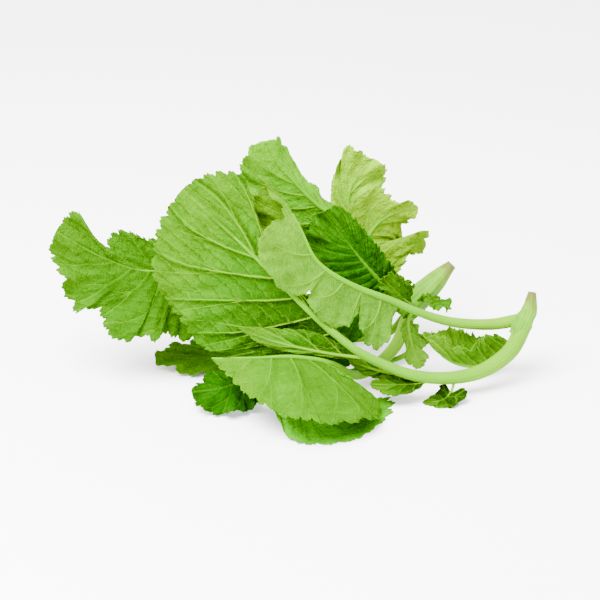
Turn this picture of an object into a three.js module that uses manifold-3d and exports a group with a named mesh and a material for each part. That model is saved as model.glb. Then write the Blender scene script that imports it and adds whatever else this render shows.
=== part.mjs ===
// A bunch of mustard greens: two young plants, each with its crown, lying together on their side.
// Millimetres. +Z is up, +X points to the crowns, and -Y is the side that the bunch shows.
import * as THREE from "three";
import Module from "manifold-3d";

const wasm = await Module();
wasm.setup();

// Driving dimensions
const BLADE_THICKNESS = 0.8;
const NODE_GAP = 0.3;
const HEAP_MIDDLE = [-3.4, 21.8, 0];

// How finely the forms are cut
const ROWS_PER_TOOTH = 2;
const CELLS_ACROSS = 3;
const STALK_SIDES = 6;
const STALK_STEP = 15;
const STALK_SHARE = 0.22;
const CROWN_SIDES = 12;
const CROWN_STEPS = 10;
const CURVE_DIVISIONS = 400;

// How a blade grows
const FEET = 0.72;
const FOOT_POWER = 1.15;
const CURL_REACH = 40;
const TOOTH_LEAN = 0.36;
const TOOTH_CURVE = 0.8;
const TIP_FADE = 12;
const SECOND_RUFFLE = { height: 0.45, turns: 2.3, phase: 0.8 };
const SMALL_REACH = 10;
const FULL_REACH = 18;
const RIB_SINK = 0.55;
const SINK_START = 10;
const SINK_LENGTH = 20;
const FLOOR_SOFTNESS = 4;

// Finish
const ROUGHNESS = 0.6;
const UNDER = 0xa6d468;
const UPPER = 0x74b31f;
const YOUNG = 0x5f9f1c;
const BRIGHT = 0xb2d94a;
const CROWN = 0xa9cf62;

// Each leaf: `rib` runs from the crown to the tip, and `length` is the blade's part of it. `face` points
// out of the upper side, from the blade's base to its tip. `left` and `right` are the outline as
// [along, across], seen from the upper side with the tip ahead. `fold` and `curl` are degrees: the lift
// of each half at the rib, and its turn over CURL_REACH. `wave` is the ruffle's height, length and phase.
// `radius` thins the stalk from the crown to the tip. `across` is the cells from rib to margin, where a
// leaf has fewer. `feet` and `footPower` place the start of the side veins. `lobes` grow from its stalk.
const LEAVES = [
  {
    name: "leaf_front_large", colour: UNDER,
    rib: [[142, 29, 38], [131, 17, 22.5], [107, 5, 13.5], [74, -4, 17], [43, -6, 31], [18, -4, 50],
      [-7, 1, 73.5], [-35, 9, 100.5], [-72, 20, 132]],
    length: 154,
    face: [[0.1, 1, -0.1], [0.1, 1, -0.1], [-0.1, 1, -0.1]],
    left: [[14, 2], [36, 3], [56, 5], [78, 7], [97, 10], [106, 16], [119, 24], [131, 32], [139, 27],
      [147, 19], [152, 9]],
    right: [[13, 9], [32, 28], [56, 50], [72, 64], [83, 65], [96, 61], [117, 58], [133, 50],
      [146, 33], [152, 15]],
    fold: { left: [0], right: [5] },
    curl: { left: [0], right: [0, 0, -8, -8, 0] },
    teeth: 24, bite: 2.6, seed: 1, wave: [2, 34, 0.5],
    radius: [5.5, 5, 4.2, 3.6, 3, 2.4, 1.8, 1.3, 0.7],
    lobes: [
      {
        rib: [[43, -6, 31], [30, -9, 33.5], [10, -10, 37.5], [-15, -9, 43.5], [-38, -7, 52]],
        length: 78, across: 2,
        face: [[0.1, 0.9, -0.4]],
        left: [[8, 5], [30, 11], [50, 9], [68, 4]],
        right: [[8, 2], [26, 2.5], [44, 4], [62, 4]],
        fold: { left: [0], right: [0] }, curl: { left: [0], right: [0] },
        teeth: 9, bite: 1.2, seed: 21, wave: [0.8, 22, 0.5], radius: [1.2, 0.9, 0.7, 0.4],
      },
      {
        rib: [[62, -5, 20], [54, 0, 18], [42, 3, 20], [30, 5, 24]],
        length: 32, across: 2,
        face: [[0, 1, 0]],
        left: [[4, 4], [14, 7], [26, 5]],
        right: [[4, 4], [14, 6], [26, 4]],
        fold: { left: [0], right: [0] }, curl: { left: [0], right: [0] },
        teeth: 6, bite: 1.2, seed: 22, wave: [1.4, 22, 0.5], radius: [1.2, 0.9, 0.7, 0.4],
      },
      {
        rib: [[97, 2, 13], [94, -4, 6], [88, -6, -1], [81, -7, -4], [76, -7, -3]],
        length: 22, across: 2,
        face: [[0, -0.2, 1]],
        left: [[-5, 7], [2, 10], [10, 9], [18, 4]],
        right: [[-5, 6], [2, 9], [10, 9], [18, 5]],
        fold: { left: [0], right: [0] }, curl: { left: [0], right: [0] },
        teeth: 5, bite: 1.6, seed: 23, wave: [1, 12, 0.5], radius: [1.1, 0.8, 0.6, 0.4],
      },
      {
        rib: [[82, -3, 15], [74, -6, 13], [60, -7, 12.5], [43, -7, 13]],
        length: 34, across: 2,
        face: [[0, -0.4, 1]],
        left: [[4, 4], [14, 8], [25, 7]],
        right: [[4, 4], [14, 8], [25, 8]],
        fold: { left: [0], right: [0] }, curl: { left: [0], right: [0] },
        teeth: 5, bite: 1.6, seed: 24, wave: [1, 12, 0.5], radius: [1.1, 0.8, 0.6, 0.4],
      },
    ],
  },
  {
    name: "leaf_folded", colour: UNDER,
    rib: [[140, 33, 38.5], [119, 33, 35], [92, 28, 40], [61, 18, 56], [31, 9, 73], [10, 6.5, 90],
      [0, 8.5, 111], [-9, 13, 127], [-20, 17, 138]],
    length: 122, feet: 0.8, footPower: 1,
    face: [[0.2, 0, -1], [-0.3, 0, -1], [-0.8, 0, -0.6], [-1, 0, -0.2], [-1, 0, -0.5]],
    left: [[6, 8], [30, 10], [60, 14], [88, 26], [104, 28], [116, 23], [121, 12]],
    right: [[2, 8], [3, 22], [8, 31], [17, 30], [23, 22], [26, 9], [28, 18], [31, 25], [37, 28],
      [43, 28], [50, 26], [55, 20], [56, 10], [57, 17], [60, 23], [66, 28], [76, 32], [86, 32],
      [96, 26], [99, 14], [98, 6], [106, 5], [114, 5]],
    fold: { left: [60], right: [55, 52, 50] },
    curl: { left: [0], right: [10] },
    teeth: 24, bite: 2.2, seed: 3, wave: [2, 26, 0.5],
    radius: [4.2, 3.6, 3.1, 2.6, 2.2, 1.8, 1.4, 1, 0.5],
    lobes: [
      {
        rib: [[70, 20.5, 50.5], [68, 25, 40], [71, 24, 24], [76, 20, 10]],
        length: 36, across: 2,
        face: [[-0.3, 0.9, 0]],
        left: [[4, 4], [10, 5], [20, 4], [26, 7], [33, 4]],
        right: [[4, 3], [12, 6], [16, 7], [18, 13], [22, 12], [24, 6], [30, 8], [34, 4]],
        fold: { left: [0], right: [0] }, curl: { left: [0], right: [0] },
        teeth: 7, bite: 1.6, seed: 25, wave: [1.4, 12, 0.5], radius: [1.2, 0.9, 0.7, 0.4],
      },
    ],
  },
  {
    name: "leaf_inner_folded", colour: UPPER,
    rib: [[140, 34, 36], [133, 32, 21], [118, 26, 11], [100, 23, 12.5], [85, 23, 22], [76, 25, 33]],
    length: 72, across: 2,
    face: [[-0.1, 0.2, 1], [0, 0.2, 1], [0.6, 0.1, 0.6]],
    left: [[2, 12], [12, 22], [26, 23], [38, 15], [50, 11], [62, 12]],
    right: [[2, 10], [12, 16], [26, 20], [42, 22], [58, 18]],
    fold: { left: [60, 60, 50], right: [60, 60, 50] },
    curl: { left: [0], right: [0] },
    teeth: 14, bite: 2.2, seed: 8, wave: [2, 18, 0.5],
    radius: [2.6, 2.2, 1.8, 1.4, 1, 0.5],
  },
  {
    name: "leaf_left_broad", colour: UPPER,
    rib: [[60, 62, 32], [10, 56, 42], [-45, 50, 53], [-80, 44, 66], [-102, 42, 69], [-119, 40, 76],
      [-134, 38, 85], [-146, 36, 94], [-152, 36, 98]],
    length: 105,
    face: [[0, -0.9, 0.6]],
    left: [[-2, 22], [3, 38], [22, 38], [28, 41], [34, 45], [44, 40], [46, 47], [55, 44], [59, 32],
      [68, 33], [73, 40], [74, 34], [83, 30], [86, 24], [92, 19], [101, 12], [104, 6]],
    right: [[12, 18], [30, 21], [45, 20], [61, 21], [66, 19], [71, 15], [70, 2], [74, 8], [82, 5],
      [86, 11], [93, 12], [97, 17], [101, 16], [104, 8]],
    fold: { left: [0], right: [0] },
    curl: { left: [0, 10, 10], right: [0] },
    teeth: 24, bite: 2.8, seed: 2, wave: [2.6, 30, 1.5],
    radius: [4, 3.4, 2.8, 2.2, 1.6, 1, 0.5],
  },
  {
    name: "leaf_back_tall", colour: UNDER,
    rib: [[64, 68, 30], [44, 64, 46], [30, 65, 72], [22, 65, 94], [11, 64, 104], [0, 62, 116],
      [-14, 58, 135], [-21, 56, 150]],
    length: 93, across: 2,
    face: [[-0.2, 1, 0.2], [-0.2, 1, 0], [-0.2, 1, -0.3]],
    left: [[10, 8], [30, 11], [50, 14], [70, 19], [86, 14]],
    right: [[10, 16], [30, 28], [50, 36], [66, 31], [80, 24], [90, 18], [95, 10]],
    fold: { left: [65, 65, 60, 30], right: [0] },
    curl: { left: [20, 20, 0], right: [0] },
    teeth: 17, bite: 2.2, seed: 4, wave: [2, 26, 0.5],
    radius: [3.4, 2.8, 2.2, 1.6, 1, 0.5],
  },
  {
    name: "leaf_back_curled", colour: BRIGHT,
    rib: [[70, 78, 36], [52, 86, 61], [38, 92, 79], [32, 94, 94], [36, 96, 109], [47, 95, 122]],
    length: 69, across: 2,
    face: [[0.5, 1, 0.2], [0.4, 0.9, 0.1], [0.2, 0.8, 0.4]],
    left: [[8, 8], [22, 13], [38, 17], [48, 18], [56, 18], [63, 17], [69, 12], [72, 5]],
    right: [[6, 10], [20, 24], [26, 26], [35, 17], [44, 14], [52, 14], [58, 17], [64, 19], [68, 14],
      [68, 7]],
    fold: { left: [10], right: [10] },
    curl: { left: [0], right: [0] },
    teeth: 14, bite: 2, seed: 5, wave: [2.4, 22, 0.5],
    radius: [3, 2.5, 2, 1.4, 0.8, 0.4],
  },
  {
    name: "leaf_back_bright", colour: BRIGHT,
    rib: [[68, 68, 34], [56, 68, 49], [47.5, 70, 63], [43.5, 75, 75], [51, 79, 86], [64, 82, 92],
      [77, 84, 92.5]],
    length: 71, across: 2,
    face: [[0, 1, -0.1], [0, 1, 0.2], [0.2, 0.9, 0.4]],
    left: [[0, 11], [4, 19], [10, 26], [17, 30], [21, 32], [24, 39], [29, 40], [32, 35], [35, 29],
      [42, 30], [50, 27], [58, 21], [66, 12]],
    right: [[0, 8], [14, 17], [32, 20], [49, 21], [54, 15], [57, 8], [64, 7]],
    fold: { left: [10], right: [10] },
    curl: { left: [0], right: [0] },
    teeth: 18, bite: 2.6, seed: 6, wave: [2, 24, 0.5],
    radius: [3, 2.5, 2, 1.4, 0.8, 0.4],
  },
  {
    name: "leaf_inner_crinkled", colour: YOUNG,
    rib: [[66, 64, 30], [54, 52, 53], [42, 48, 69], [30, 46, 86], [20, 46, 100], [14, 46, 108]],
    length: 76, across: 2,
    face: [[0.3, -1, 0.3]],
    left: [[8, 20], [26, 33], [46, 37], [62, 32], [73, 16]],
    right: [[8, 10], [26, 13], [46, 13], [62, 12], [72, 8]],
    fold: { left: [0], right: [10] },
    curl: { left: [0], right: [0] },
    teeth: 16, bite: 2.2, seed: 7, wave: [3, 20, 0.5],
    radius: [3, 2.5, 2, 1.4, 0.8],
    lobes: [
      {
        rib: [[62, 61, 38], [50, 48, 40], [26, 40, 37], [0, 37, 36], [-18, 36, 38]],
        length: 72, across: 2,
        face: [[0.1, -1, 0.3]],
        left: [[6, 10], [22, 17], [44, 18], [62, 10]],
        right: [[6, 10], [22, 16], [44, 17], [62, 10]],
        fold: { left: [0], right: [0] }, curl: { left: [0], right: [0] },
        teeth: 7, bite: 1.8, seed: 26, wave: [2, 22, 0.5], radius: [1.6, 1.2, 0.9, 0.6, 0.4],
      },
    ],
  },
  {
    name: "leaf_front_low", colour: UNDER,
    rib: [[70, 64, 24], [62, 48, 13], [50, 30, 9], [36, 9, 11], [19, -9, 28], [-5, -16, 36],
      [-28, -18, 36.5], [-54, -16, 36]],
    length: 78, feet: 0.85,
    face: [[0, -0.72, -0.7]],
    left: [[-14, 14], [-30, 22], [-34, 32], [-28, 46], [-18, 56], [-6, 60], [8, 60], [22, 58],
      [33, 52], [38, 42], [44, 28], [54, 14], [68, 6]],
    right: [[2, 7], [1, 13], [-8, 17], [-17, 21], [-18, 28], [-14, 37], [-6, 46], [14, 53],
      [32, 49], [45, 39], [53, 29], [61, 19], [71, 8]],
    fold: { left: [96, 98, 84, 74, 72], right: [46, 46, 56, 66, 70] },
    curl: { left: [22], right: [8] },
    teeth: 24, bite: 2.6, seed: 9, wave: [1.4, 28, 0.5],
    radius: [4.4, 4, 3.2, 2.4, 1.6, 1, 0.5],
  },
  {
    name: "leaf_low_curly", colour: YOUNG,
    rib: [[76, 64, 20], [70, 50, 6], [30, 26, 5], [-8, 8, 9], [-32, -6, 15], [-49, -14, 14],
      [-67, -14, 11]],
    length: 42, across: 2,
    face: [[0, -0.6, 0.8]],
    left: [[2, 14], [16, 19], [30, 15], [38, 9]],
    right: [[4, 8], [18, 10], [32, 10]],
    fold: { left: [0], right: [0] },
    curl: { left: [0], right: [0] },
    teeth: 10, bite: 2, seed: 10, wave: [3, 16, 0.5],
    radius: [2, 1.6, 1.2, 0.8, 0.5],
    lobes: [
      {
        rib: [[50, 38, 5], [36, 28, 14], [16, 20, 21], [-8, 17, 25], [-26, 16, 27]],
        length: 66, across: 2,
        face: [[0, -1, 0.3]],
        left: [[6, 7], [24, 11], [44, 11], [58, 6]],
        right: [[6, 7], [24, 11], [44, 11], [58, 6]],
        fold: { left: [0], right: [0] }, curl: { left: [0], right: [0] },
        teeth: 7, bite: 1.6, seed: 27, wave: [1.5, 20, 0.5], radius: [1.2, 1, 0.8, 0.6, 0.4],
      },
    ],
  },
  {
    name: "leaf_back_low", colour: YOUNG,
    rib: [[70, 72, 24], [57, 75, 8], [30, 76, 2], [0, 70, -3], [-32, 60, -3], [-63, 48, 3],
      [-94, 40, 8]],
    length: 100, across: 2,
    face: [[0, -0.1, 1]],
    left: [[10, 14], [34, 24], [60, 24], [84, 16], [96, 8]],
    right: [[10, 14], [34, 26], [60, 25], [84, 16], [96, 8]],
    fold: { left: [0], right: [0] },
    curl: { left: [0], right: [0] },
    teeth: 13, bite: 2.4, seed: 11, wave: [2, 20, 0.5],
    radius: [2.8, 2.4, 2, 1.6, 1.2, 0.8, 0.5],
  },
  {
    name: "leaf_heart_1", colour: UPPER,
    rib: [[71, 66, 35], [71, 53, 40], [65, 43, 49], [58, 37, 59], [51, 34, 68]],
    length: 44, across: 2,
    face: [[0.3, -0.8, 0.6]],
    left: [[3, 8], [14, 11], [28, 10], [38, 7]],
    right: [[3, 8], [14, 11], [28, 10], [38, 7]],
    fold: { left: [10], right: [10] }, curl: { left: [30], right: [30] },
    teeth: 10, bite: 1.8, seed: 31, wave: [2.2, 11, 0.5], radius: [1.8, 1.5, 1, 0.5],
  },
  {
    name: "leaf_heart_2", colour: UPPER,
    rib: [[80, 69, 38], [86, 57, 39], [87, 49, 42], [82, 40, 45]],
    length: 28, across: 2,
    face: [[0.3, -0.3, 0.9]],
    left: [[3, 8], [12, 10], [22, 7]],
    right: [[3, 8], [12, 10], [22, 7]],
    fold: { left: [10], right: [10] }, curl: { left: [30], right: [30] },
    teeth: 8, bite: 1.8, seed: 32, wave: [2.4, 11, 1.5], radius: [1.8, 1.5, 1, 0.5],
  },
];

// Each crown: the cut end of a plant, as the points of its axis and the radius at each.
const CROWNS = [
  {
    name: "crown_front",
    axis: [[137, 25, 31], [141, 27.5, 39], [144.5, 30, 47], [146, 33, 57.5]],
    radius: [5.2, 5.6, 4.5, 2.5],
  },
  {
    name: "crown_back",
    axis: [[66, 68, 26], [77, 72, 36], [89, 76.5, 46.5], [99, 80, 56]],
    radius: [8, 8.5, 6.6, 3.2],
  },
];

const radians = THREE.MathUtils.degToRad;

// A smooth curve through points of any length, or numbers, at a share from 0 to 1.
function along(values, share) {
  if (values.length === 1) return values[0];
  const last = values.length - 1;
  const place = THREE.MathUtils.clamp(share, 0, 1) * last;
  const i = Math.min(Math.floor(place), last - 1);
  const at = (k, axis) => {
    const one = (j) => (axis === undefined ? values[j] : values[j][axis]);
    if (k < 0) return 2 * one(0) - one(1);
    if (k > last) return 2 * one(last) - one(last - 1);
    return one(k);
  };
  const mix = (axis) => {
    const [a, b, c, d] = [at(i - 1, axis), at(i, axis), at(i + 1, axis), at(i + 2, axis)];
    const f = place - i;
    const m0 = (c - a) / 2;
    const m1 = (d - b) / 2;
    return b + m0 * f + (3 * (c - b) - 2 * m0 - m1) * f ** 2 + (2 * (b - c) + m0 + m1) * f ** 3;
  };
  return Array.isArray(values[0]) ? values[0].map((_, axis) => mix(axis)) : mix();
}

// The same curve, walked by its length.
class Path {
  constructor(points) {
    this.points = [];
    this.reached = [0];
    for (let k = 0; k <= CURVE_DIVISIONS; k++) {
      const [x, y, z = 0] = along(points, k / CURVE_DIVISIONS);
      this.points.push(new THREE.Vector3(x, y, z));
      if (k > 0) this.reached.push(this.reached[k - 1] + this.points[k].distanceTo(this.points[k - 1]));
    }
    this.length = this.reached[CURVE_DIVISIONS];
  }

  at(distance) {
    const d = THREE.MathUtils.clamp(distance, 0, this.length);
    let k = 1;
    while (k < CURVE_DIVISIONS && this.reached[k] < d) k++;
    const share = (d - this.reached[k - 1]) / (this.reached[k] - this.reached[k - 1]);
    const point = this.points[k - 1].clone().lerp(this.points[k], share);
    const heading = this.points[k].clone().sub(this.points[k - 1]).normalize();
    return { point: point.addScaledVector(heading, distance - d), heading };
  }
}

// A scatter from 0 to 1 that is the same on every run.
function chance(i, seed) {
  const x = Math.sin(i * 12.9898 + seed * 78.233) * 43758.5453;
  return x - Math.floor(x);
}

// A leaf's frame and outline. `extra` thickens it all round.
class Leaf {
  constructor(spec, extra = 0) {
    this.spec = spec;
    this.extra = extra;
    this.rib = new Path(spec.rib);
    this.base = this.rib.length - spec.length;
    this.feet = spec.feet ?? FEET;
    const close = (side) => new Path([[0, 0.5], ...spec[side], [spec.length, 0]]);
    this.edge = { left: close("left"), right: close("right") };
  }

  // The frame of the rib, by the distance from the blade's base.
  frame(x) {
    const { point, heading } = this.rib.at(this.base + x);
    const up = new THREE.Vector3(...along(this.spec.face, x / this.spec.length));
    up.addScaledVector(heading, -up.dot(heading)).normalize();
    const right = new THREE.Vector3().crossVectors(heading, up);
    return { point, heading, up, right };
  }

  tooth(side, t) {
    const { teeth, bite, seed } = this.spec;
    const place = (1 - t) * teeth;
    const index = Math.floor(place) * 2 + (side === "right" ? 1 : 0);
    const f = place - Math.floor(place);
    const rise = f < TOOTH_LEAN ? f / TOOTH_LEAN : (1 - f) / (1 - TOOTH_LEAN);
    return bite * (0.5 + chance(index, seed)) * (rise ** TOOTH_CURVE - 0.5);
  }

  // A point of the blade: t runs along the margin from base to tip, w from the rib to the margin.
  point(side, t, w) {
    const spec = this.spec;
    const sign = side === "right" ? 1 : -1;
    const margin = this.edge[side].at(t * this.edge[side].length).point;
    const foot = new THREE.Vector3(this.feet * spec.length * t ** (spec.footPower ?? FOOT_POWER), 0, 0);
    const reach = margin.distanceTo(foot);
    const grow = this.tooth(side, t) / Math.max(reach, 1);
    const fade = Math.min(1, reach / SMALL_REACH) * Math.min(1, (1 - t) * TIP_FADE);
    const flat = foot.lerp(margin, (1 + grow * fade) * w);
    const fold = radians(along(spec.fold[side], t));
    const bend = radians(along(spec.curl[side], t)) / CURL_REACH || 1e-6;
    const turn = fold + bend * flat.y;
    const out = (Math.sin(turn) - Math.sin(fold)) / bend;
    const lift = (Math.cos(fold) - Math.cos(turn)) / bend;
    const { point, up, right } = this.frame(flat.x);
    point.addScaledVector(right, sign * out).addScaledVector(up, lift);
    const [height, length, phase] = spec.wave;
    const angle = (2 * Math.PI * sign * (1 - t) * this.edge[side].length) / length + phase;
    const { height: share, turns, phase: start } = SECOND_RUFFLE;
    const ruffle = Math.sin(angle) + share * Math.sin(turns * angle + start);
    const swell = height * w ** 2 * ruffle * Math.min(1, reach / FULL_REACH);
    point.addScaledVector(up, Math.cos(turn) * swell);
    point.addScaledVector(right, -sign * Math.sin(turn) * swell);
    return this.settle(point);
  }

  // What would sink below the floor lies on it.
  settle(point) {
    const rest = BLADE_THICKNESS / 2;
    if (point.z < rest + FLOOR_SOFTNESS) {
      const above = Math.max(0, point.z - rest + FLOOR_SOFTNESS);
      point.z = rest + above ** 2 / (4 * FLOOR_SOFTNESS);
    }
    return point;
  }

  // The blade as one closed sheet, both faces split alike.
  blade() {
    const rows = this.spec.teeth * ROWS_PER_TOOTH;
    const across = this.spec.across ?? CELLS_ACROSS;
    const points = [];
    const ids = [];
    const put = (p) => points.push(p) - 1;
    for (let r = 0; r <= rows; r++) {
      const row = [];
      const t = r / rows;
      for (let c = -across; c <= across; c++) {
        const side = c < 0 ? "left" : "right";
        if (r === 0 && c > -across) row.push(row[0]);
        else if (r === rows && c > 0) row.push(row[across - c]);
        else row.push(put(this.point(side, t, r === 0 ? 0 : Math.abs(c) / across)));
      }
      ids.push(row);
    }
    const faces = [];
    for (let r = 0; r < rows; r++) {
      for (let c = 0; c < 2 * across; c++) {
        const [a, b, d, e] = [ids[r][c], ids[r + 1][c], ids[r + 1][c + 1], ids[r][c + 1]];
        const pair = c < across ? [[a, b, d], [a, d, e]] : [[a, b, e], [b, d, e]];
        for (const face of pair) if (new Set(face).size === 3) faces.push(face);
      }
    }
    return thicken(points, faces, BLADE_THICKNESS + 2 * this.extra);
  }

  // The stalk and midrib as one tapering tube on the underside.
  stalk() {
    const end = this.base + this.spec.length * STALK_SHARE;
    const whole = this.base + this.spec.length * this.feet;
    const steps = Math.max(4, Math.round(end / STALK_STEP));
    const rings = [];
    for (let k = 0; k <= steps; k++) {
      const distance = (end * k) / steps;
      const radius = along(this.spec.radius, distance / whole) + this.extra;
      const { point, heading, up, right } = this.frame(distance - this.base);
      if (k === 0) point.addScaledVector(heading, -this.extra);
      if (k === steps) point.addScaledVector(heading, this.extra);
      const sunk = THREE.MathUtils.clamp((distance - this.base + SINK_START) / SINK_LENGTH, 0, 1);
      point.addScaledVector(up, -radius * RIB_SINK * sunk);
      point.z = Math.max(point.z, radius);
      rings.push(ring(point, up, right, radius, STALK_SIDES));
    }
    return tube(rings);
  }

  solid() {
    const lobes = (this.spec.lobes ?? []).map((lobe) => new Leaf(lobe, this.extra).solid());
    return lobes.reduce((whole, lobe) => whole.add(lobe), this.stalk().add(this.blade()));
  }
}

// A circle of points that turns from one direction to the other.
function ring(centre, from, to, radius, sides) {
  return Array.from({ length: sides }, (_, k) => {
    const angle = (2 * Math.PI * k) / sides;
    return centre.clone()
      .addScaledVector(from, radius * Math.cos(angle))
      .addScaledVector(to, radius * Math.sin(angle));
  });
}

function manifold(points, faces) {
  const vertProperties = new Float32Array(points.flatMap((p) => p.toArray()));
  const triVerts = new Uint32Array(faces.flat());
  return new wasm.Manifold(new wasm.Mesh({ numProp: 3, vertProperties, triVerts }));
}

// Rings of points, joined into a closed tube.
function tube(rings) {
  const sides = rings[0].length;
  const points = rings.flat();
  const faces = [];
  for (let k = 0; k + 1 < rings.length; k++) {
    for (let s = 0; s < sides; s++) {
      const next = (s + 1) % sides;
      const [a, b] = [k * sides + s, k * sides + next];
      faces.push([a, b, b + sides], [a, b + sides, a + sides]);
    }
  }
  const middle = (list) => list.reduce((sum, p) => sum.add(p), new THREE.Vector3()).divideScalar(sides);
  const start = points.push(middle(rings[0])) - 1;
  const finish = points.push(middle(rings.at(-1))) - 1;
  const top = (rings.length - 1) * sides;
  for (let s = 0; s < sides; s++) {
    const next = (s + 1) % sides;
    faces.push([start, next, s], [finish, top + s, top + next]);
  }
  return manifold(points, faces);
}

// A sheet of triangles, given its thickness along its corners' normals and closed along its margin.
function thicken(points, faces, thickness) {
  const normals = points.map(() => new THREE.Vector3());
  const edges = new Map();
  for (const [a, b, c] of faces) {
    const normal = points[b].clone().sub(points[a]).cross(points[c].clone().sub(points[a]));
    for (const v of [a, b, c]) normals[v].add(normal);
    for (const [from, to] of [[a, b], [b, c], [c, a]]) edges.set(`${from},${to}`, [from, to]);
  }
  const count = points.length;
  normals.forEach((normal) => normal.setLength(thickness / 2));
  const outer = points.map((p, i) => p.clone().add(normals[i]));
  const inner = points.map((p, i) => p.clone().sub(normals[i]));
  const all = [...faces, ...faces.map(([a, b, c]) => [a + count, c + count, b + count])];
  for (const [from, to] of edges.values()) {
    if (edges.has(`${to},${from}`)) continue;
    all.push([to, from, from + count], [to, from + count, to + count]);
  }
  return manifold([...outer, ...inner], all);
}

function crown({ axis, radius }, extra = 0) {
  const path = new Path(axis);
  const rings = [];
  for (let k = 0; k <= CROWN_STEPS; k++) {
    const beyond = k === 0 ? -extra : k === CROWN_STEPS ? extra : 0;
    const { point, heading } = path.at((path.length * k) / CROWN_STEPS + beyond);
    const right = new THREE.Vector3(0, 1, 0).cross(heading).normalize();
    const up = new THREE.Vector3().crossVectors(right, heading).negate();
    rings.push(ring(point, right, up, along(radius, k / CROWN_STEPS) + extra, CROWN_SIDES));
  }
  return tube(rings);
}

function largest(solid) {
  return solid.decompose().reduce((best, body) => (body.volume() > best.volume() ? body : best));
}

function mesh(name, solid, colour) {
  const { vertProperties, triVerts } = solid.getMesh();
  const geometry = new THREE.BufferGeometry();
  geometry.setAttribute("position", new THREE.BufferAttribute(Float32Array.from(vertProperties), 3));
  geometry.setIndex(new THREE.BufferAttribute(Uint32Array.from(triVerts), 1));
  geometry.computeVertexNormals();
  const finish = new THREE.MeshStandardMaterial({ color: colour, roughness: ROUGHNESS });
  const piece = new THREE.Mesh(geometry, finish);
  piece.name = name;
  return piece;
}

const bunch = new THREE.Group();
const placed = [];
for (const spec of CROWNS) {
  bunch.add(mesh(spec.name, crown(spec), CROWN));
  placed.push(crown(spec, NODE_GAP));
}
for (const spec of LEAVES) {
  const whole = new Leaf(spec).solid();
  const free = placed.reduce((rest, other) => rest.subtract(other), whole);
  bunch.add(mesh(spec.name, largest(free), spec.colour));
  placed.push(new Leaf(spec, NODE_GAP).solid());
}
bunch.position.set(...HEAP_MIDDLE).negate();

export default bunch;
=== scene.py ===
"""A bunch of mustard greens, lying on a pale table: the finish of its leaves, stalks and crowns."""

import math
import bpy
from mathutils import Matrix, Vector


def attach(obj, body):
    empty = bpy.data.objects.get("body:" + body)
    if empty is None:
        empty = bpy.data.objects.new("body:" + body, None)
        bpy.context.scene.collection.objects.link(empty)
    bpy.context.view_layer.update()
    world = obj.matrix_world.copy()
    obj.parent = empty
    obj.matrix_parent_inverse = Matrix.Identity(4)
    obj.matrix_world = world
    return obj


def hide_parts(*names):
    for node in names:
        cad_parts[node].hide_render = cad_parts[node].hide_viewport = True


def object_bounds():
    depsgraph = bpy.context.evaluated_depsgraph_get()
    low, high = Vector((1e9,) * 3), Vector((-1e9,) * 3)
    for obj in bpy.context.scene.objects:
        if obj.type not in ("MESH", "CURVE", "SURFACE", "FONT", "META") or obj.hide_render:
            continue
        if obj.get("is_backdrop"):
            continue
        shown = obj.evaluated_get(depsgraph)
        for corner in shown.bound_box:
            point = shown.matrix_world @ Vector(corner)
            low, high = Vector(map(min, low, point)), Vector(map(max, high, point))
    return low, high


bl_info = {
    "name": "Mustard Greens Bunch",
    "version": (1, 0, 0),
    "blender": (4, 5, 0),
    "location": "View3D > Sidebar > Greens",
    "description": "Grows the leaves, stalks and crowns of a bunch of mustard greens",
    "category": "Object",
}

import bpy
import numpy as np
from mathutils import Vector

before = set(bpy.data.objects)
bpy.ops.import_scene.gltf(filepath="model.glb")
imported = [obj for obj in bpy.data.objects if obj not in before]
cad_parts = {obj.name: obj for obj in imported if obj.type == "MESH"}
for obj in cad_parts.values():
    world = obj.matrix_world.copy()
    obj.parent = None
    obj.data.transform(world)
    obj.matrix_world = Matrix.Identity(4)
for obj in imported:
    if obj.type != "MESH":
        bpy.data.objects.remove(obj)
CAD_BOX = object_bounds()
MM = 0.001

# The middle of the bunch in the source's own millimetres, which lies at the frame's origin.
HEAP_MIDDLE = np.array([-3.4, 21.8, 0])

# How the source shapes a blade: how high its middle lies on the floor and how softly it settles there, the
# width over which it curls by its own angle, where in a tooth its point is, and the steps that a curve has.
FLOOR_REST = 0.4
FLOOR_SOFTNESS = 4.0
CURL_REACH = 40.0
TOOTH_LEAN = 0.36
CURVE_DIVISIONS = 400

# Fine teeth between the large ones: how many for each, and their depth beside it.
FINE_TEETH = 2.9
FINE_BITE = 0.55

# Where half a blade is narrower than this, in mm, its teeth, frill and waves fade out.
TOOTH_FADE = 10
FRILL_FADE = 12
WAVE_FADE = 18

# How wide the puckers between two veins are, and the finer ones on them, in mm.
PUCKER_SIZE = 9
PUCKER_GRAIN = 4.5

# Side veins on the way from the rib, 0, to the margin, 1: how far they lean to the tip, where they and their
# forks begin and end, how wide the forks spread, in shares of the gap between two veins, and how they taper.
VEIN_LEAN = 0.09
VEIN_END = 0.93
VEIN_TAPER = 0.75
LAST_VEIN = 0.985
FORK_START = 0.42
FORK_END = 0.95
FORK_SPREAD = 0.40
FORK_BEND = 0.8
FORK_GIRTH = 0.55

# How finely a blade is cut: rows for each tooth of the margin, cells from the rib to the margin, and how much
# narrower the cells get on the way.
ROWS_PER_TOOTH = 10
CELLS_ACROSS = 20
CELL_CROWDING = 0.85

# The two nets of fine veins, as cells for each mm.
WIDE_NET = 0.15
FINE_NET = 0.5

# What a leaf's colour is multiplied by towards its tip, by painted shade towards its base, and by painted
# shade in the dips beside its veins.
TIP_TINT = (1.55, 1.06, 1.0)
BASE_SHADE_TINT = (0.20, 0.25, 1.0)
DIP_SHADE_TINT = (0.36, 0.42, 1.0)

# Leaves whose veins show less than this have thinner ones in the blade's own green.
CLEAR_LINES = 0.6
FAINT_GIRTH = 0.7
GREEN_STALKED = ("deep", "crinkled")

CROWN_SIDES = 48
CROWN_STEPS = 40

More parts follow.
